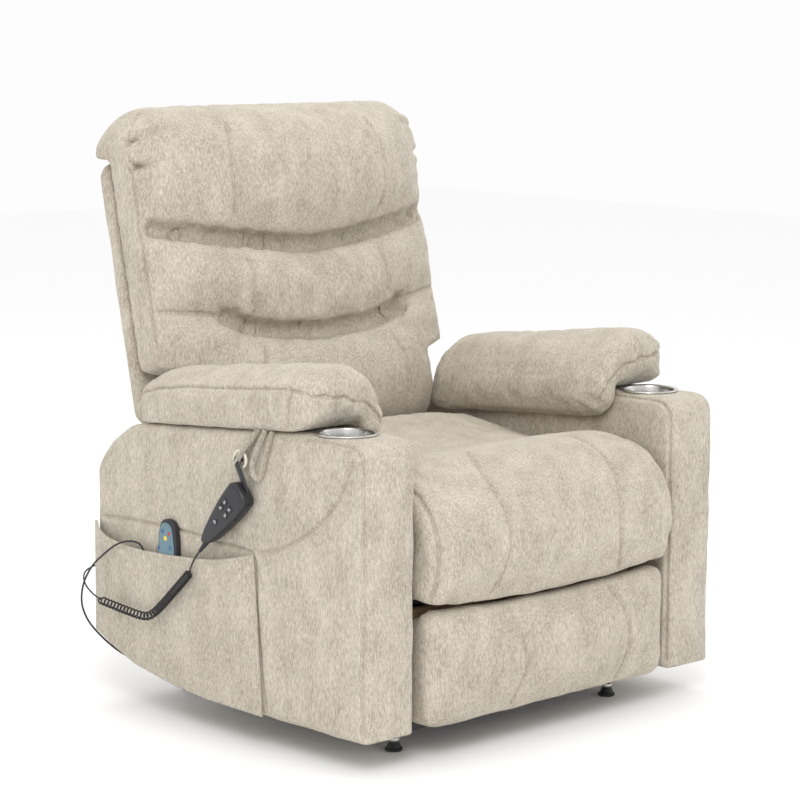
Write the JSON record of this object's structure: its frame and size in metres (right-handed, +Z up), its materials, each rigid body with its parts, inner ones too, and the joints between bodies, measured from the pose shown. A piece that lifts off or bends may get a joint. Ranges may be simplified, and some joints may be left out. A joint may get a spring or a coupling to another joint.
{
  "type": "lift recliner chair",
  "caption": "Upholstered power lift recliner: floor frame, lift linkage, reclining back, swing-out footrest, padded arms with cup holders, side pocket and wired handset.",
  "frame": {"origin": "centre of the bounding box on the floor, under the glides", "axes": "+Z up, the chair faces -Y, +X to the sitter's left"},
  "size_m": [0.9096, 0.855, 1.0404],
  "materials": {
    "base_frame": "satin black powder coat",
    "glide_foot_front_left": "black moulded glide",
    "glide_foot_front_right": "black moulded glide",
    "glide_foot_rear_left": "black moulded glide",
    "glide_foot_rear_right": "black moulded glide",
    "power_supply": "black textured plastic",
    "lift_front_yoke": "satin black powder coat",
    "lift_link_rear_left": "satin black powder coat",
    "lift_link_rear_right": "satin black powder coat",
    "lift_actuator_housing": "black textured plastic",
    "lift_actuator_rod": "brushed stainless steel",
    "lift_carriage": "satin black powder coat",
    "seat_frame": "bare plywood",
    "seat_spring_deck": "black sprung wire deck",
    "seat_cushion": "beige heathered chenille",
    "rear_valance": "beige heathered chenille",
    "arm_left": "beige heathered chenille",
    "arm_right": "beige heathered chenille",
    "arm_pad_left": "beige heathered chenille",
    "arm_pad_right": "beige heathered chenille",
    "cup_holder_left": "brushed stainless steel",
    "cup_holder_right": "brushed stainless steel",
    "side_pocket": "beige heathered chenille",
    "hanger_strap": "beige heathered chenille",
    "strap_ring": "cream plastic",
    "handset_casing_front": "black textured plastic",
    "handset_casing_back": "black textured plastic",
    "handset_usb_port": "black textured plastic",
    "handset_boot": "black cable jacket",
    "handset_lead": "black cable jacket",
    "handset_coil": "black cable jacket",
    "handset_tail": "black cable jacket",
    "handset_gland": "black textured plastic",
    "massage_remote_body": "black textured plastic",
    "massage_remote_keypad": "teal printed membrane",
    "massage_cord": "black cable jacket",
    "massage_gland": "black textured plastic",
    "handset_button_1": "glossy black key",
    "handset_button_2": "glossy black key",
    "handset_button_3": "glossy black key",
    "handset_button_4": "glossy black key",
    "footrest_drive_yoke": "satin black powder coat",
    "carrier_bar_left": "satin black powder coat",
    "carrier_bar_right": "satin black powder coat",
    "footrest_board": "bare plywood",
    "footrest_bracket_left": "satin black powder coat",
    "footrest_bracket_right": "satin black powder coat",
    "footrest_pad": "beige heathered chenille",
    "swing_arm_rear_left": "satin black powder coat",
    "swing_arm_rear_right": "satin black powder coat",
    "board_link_left": "satin black powder coat",
    "board_link_right": "satin black powder coat",
    "back_link_left": "satin black powder coat",
    "back_link_right": "satin black powder coat",
    "back_frame": "satin black powder coat",
    "back_cushion": "beige heathered chenille",
    "outer_back_panel": "beige heathered chenille",
    "back_actuator_housing": "black textured plastic",
    "back_actuator_rod": "brushed stainless steel"
  },
  "bodies": {
    "base": {"base_frame": "base_frame", "glide_foot_front_left": "glide_foot_front_left", "glide_foot_front_right": "glide_foot_front_right", "glide_foot_rear_left": "glide_foot_rear_left", "glide_foot_rear_right": "glide_foot_rear_right", "power_supply": "power_supply"},
    "lift_front": {"lift_front_yoke": "lift_front_yoke"},
    "lift_rear": {"lift_link_rear_left": "lift_link_rear_left", "lift_link_rear_right": "lift_link_rear_right"},
    "lift_motor": {"lift_actuator_housing": "lift_actuator_housing"},
    "lift_rod": {"lift_actuator_rod": "lift_actuator_rod"},
    "carriage": {"lift_carriage": "lift_carriage", "seat_frame": "seat_frame", "seat_spring_deck": "seat_spring_deck", "seat_cushion": "seat_cushion", "rear_valance": "rear_valance", "arm_left": "arm_left", "arm_right": "arm_right", "arm_pad_left": "arm_pad_left", "arm_pad_right": "arm_pad_right", "cup_holder_left": "cup_holder_left", "cup_holder_right": "cup_holder_right", "side_pocket": "side_pocket", "hanger_strap": "hanger_strap", "strap_ring": "strap_ring", "handset_casing_front": "handset_casing_front", "handset_casing_back": "handset_casing_back", "handset_usb_port": "handset_usb_port", "handset_boot": "handset_boot", "handset_lead": "handset_lead", "handset_coil": "handset_coil", "handset_tail": "handset_tail", "handset_gland": "handset_gland", "massage_remote_body": "massage_remote_body", "massage_remote_keypad": "massage_remote_keypad", "massage_cord": "massage_cord", "massage_gland": "massage_gland"},
    "button_1": {"handset_button_1": "handset_button_1"},
    "button_2": {"handset_button_2": "handset_button_2"},
    "button_3": {"handset_button_3": "handset_button_3"},
    "button_4": {"handset_button_4": "handset_button_4"},
    "footrest_drive": {"footrest_drive_yoke": "footrest_drive_yoke"},
    "carrier": {"carrier_bar_left": "carrier_bar_left", "carrier_bar_right": "carrier_bar_right"},
    "footrest": {"footrest_board": "footrest_board", "footrest_bracket_left": "footrest_bracket_left", "footrest_bracket_right": "footrest_bracket_right", "footrest_pad": "footrest_pad"},
    "swing_rear": {"swing_arm_rear_left": "swing_arm_rear_left", "swing_arm_rear_right": "swing_arm_rear_right"},
    "board_links": {"board_link_left": "board_link_left", "board_link_right": "board_link_right"},
    "back_links": {"back_link_left": "back_link_left", "back_link_right": "back_link_right"},
    "back": {"back_frame": "back_frame", "back_cushion": "back_cushion", "outer_back_panel": "outer_back_panel"},
    "back_motor": {"back_actuator_housing": "back_actuator_housing"},
    "back_rod": {"back_actuator_rod": "back_actuator_rod"}
  },
  "joints": [
    {"name": "lift_front_hinge", "type": "hinge", "parent": "base", "child": "lift_front", "pos_m": [0.01035, -0.0905, 0.071], "axis": [1, 0, 0], "range_deg": [0, 62]},
    {"name": "carriage_hinge", "type": "hinge", "parent": "lift_front", "child": "carriage", "pos_m": [0.01035, 0.169, 0.101], "axis": [-1, 0, 0], "range_deg": [0, 40.01]},
    {"name": "lift_rear_hinge", "type": "hinge", "parent": "base", "child": "lift_rear", "pos_m": [0.01035, -0.068, 0.085], "axis": [1, 0, 0], "range_deg": [0, 58.66]},
    {"name": "lift_motor_hinge", "type": "hinge", "parent": "base", "child": "lift_motor", "pos_m": [0.01035, 0.2365, 0.08], "axis": [1, 0, 0], "range_deg": [0, 0.025]},
    {"name": "lift_rod_slide", "type": "slide", "parent": "lift_motor", "child": "lift_rod", "axis": [0, -0.9953, 0.0969], "range_m": [0, 0.04646]},
    {"name": "back_hinge", "type": "hinge", "parent": "carriage", "child": "back", "pos_m": [0.01035, 0.1965, 0.3], "axis": [-1, 0, 0], "range_deg": [0, 46]},
    {"name": "footrest_drive_hinge", "type": "hinge", "parent": "carriage", "child": "footrest_drive", "pos_m": [0.01035, -0.1365, 0.262], "axis": [-1, 0, 0], "range_deg": [0, 102.02]},
    {"name": "carrier_hinge", "type": "hinge", "parent": "footrest_drive", "child": "carrier", "pos_m": [0.01035, -0.0505, 0.14], "axis": [1, 0, 0], "range_deg": [0, 102.02]},
    {"name": "footrest_hinge", "type": "hinge", "parent": "carrier", "child": "footrest", "pos_m": [0.01035, -0.2905, 0.234], "axis": [-1, 0, 0], "range_deg": [0, 90.02]},
    {"name": "swing_rear_hinge", "type": "hinge", "parent": "carriage", "child": "swing_rear", "pos_m": [0.01035, 0.0075, 0.262], "axis": [-1, 0, 0], "range_deg": [0, 102.02]},
    {"name": "board_link_hinge", "type": "hinge", "parent": "footrest_drive", "child": "board_links", "pos_m": [0.01035, -0.0535, 0.095], "axis": [1, 0, 0], "range_deg": [0, 101.02]},
    {"name": "back_link_hinge", "type": "hinge", "parent": "swing_rear", "child": "back_links", "pos_m": [0.01035, 0.0034, 0.2272], "axis": [1, 0, 0], "range_deg": [0, 119.91]},
    {"name": "back_motor_hinge", "type": "hinge", "parent": "carriage", "child": "back_motor", "pos_m": [0.01035, -0.2135, 0.2], "axis": [1, 0, 0], "range_deg": [0, 0.1]},
    {"name": "back_rod_slide", "type": "slide", "parent": "back_motor", "child": "back_rod", "axis": [0, -0.9967, -0.0811], "range_m": [0, 0.05474]},
    {"name": "button_1_press", "type": "slide", "parent": "carriage", "child": "button_1", "axis": [1, 0, 0], "range_m": [0, 0.001], "stiffness_N_per_m": 1200},
    {"name": "button_2_press", "type": "slide", "parent": "carriage", "child": "button_2", "axis": [1, 0, 0], "range_m": [0, 0.001], "stiffness_N_per_m": 1200},
    {"name": "button_3_press", "type": "slide", "parent": "carriage", "child": "button_3", "axis": [1, 0, 0], "range_m": [0, 0.001], "stiffness_N_per_m": 1200},
    {"name": "button_4_press", "type": "slide", "parent": "carriage", "child": "button_4", "axis": [1, 0, 0], "range_m": [0, 0.001], "stiffness_N_per_m": 1200}
  ],
  "couplings": [
    {"joint": "carriage_hinge", "follows": "lift_front_hinge", "ratio": 0.64516},
    {"joint": "lift_rear_hinge", "follows": "lift_front_hinge", "ratio": 0.94588},
    {"joint": "lift_motor_hinge", "follows": "lift_front_hinge", "ratio": 0.000246},
    {"joint": "lift_rod_slide", "follows": "lift_front_hinge", "m_per_rad": 0.042922},
    {"joint": "footrest_drive_hinge", "follows": "back_hinge", "ratio": 2.2174},
    {"joint": "carrier_hinge", "follows": "back_hinge", "ratio": 2.2174},
    {"joint": "footrest_hinge", "follows": "back_hinge", "ratio": 1.9565},
    {"joint": "swing_rear_hinge", "follows": "back_hinge", "ratio": 2.2174},
    {"joint": "board_link_hinge", "follows": "back_hinge", "ratio": 2.1957},
    {"joint": "back_link_hinge", "follows": "back_hinge", "ratio": 2.6062},
    {"joint": "back_motor_hinge", "follows": "back_hinge", "ratio": 0.001966},
    {"joint": "back_rod_slide", "follows": "back_hinge", "m_per_rad": 0.068171}
  ]
}
